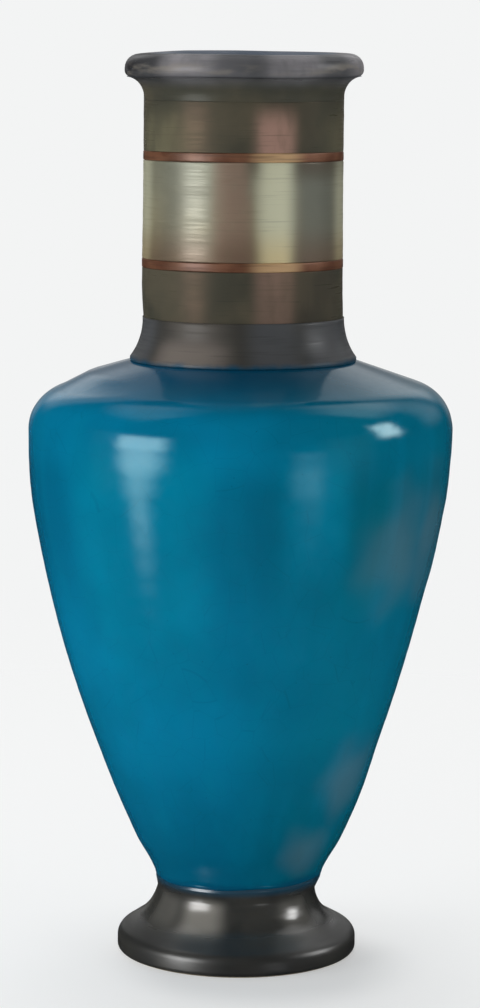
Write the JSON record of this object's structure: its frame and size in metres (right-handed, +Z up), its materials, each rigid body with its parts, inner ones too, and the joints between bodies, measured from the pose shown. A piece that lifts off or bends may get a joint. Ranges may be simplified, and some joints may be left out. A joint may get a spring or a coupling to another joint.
{
  "type": "faience jar",
  "caption": "Tall glazed faience jar: flared foot, swelling body with a tight shoulder, straight banded neck and a spreading rim, made of luted sections and open at the mouth.",
  "frame": {"origin": "middle of the underside of the foot, on the surface that the jar stands on", "axes": "+Z up along the axis of the jar; the jar is round, so X and Y are free"},
  "size_m": [0.0936, 0.0936, 0.2],
  "materials": {
    "blue_glaze": "glossy blue glaze",
    "dark_glaze": "dark lustrous glaze",
    "pale_lustre": "pale metallic lustre",
    "copper_border": "copper brown lustre",
    "slip": "fired slip"
  },
  "bodies": {
    "root": {"foot": "dark_glaze", "foot_luting": "slip", "body": "blue_glaze", "belly_luting": "slip", "shoulder": "blue_glaze", "neck_luting": "slip", "neck_collar": "dark_glaze", "neck": "dark_glaze", "lower_border": "copper_border", "neck_band": "pale_lustre", "upper_border": "copper_border", "rim_luting": "slip", "rim": "dark_glaze"}
  },
  "joints": []
}
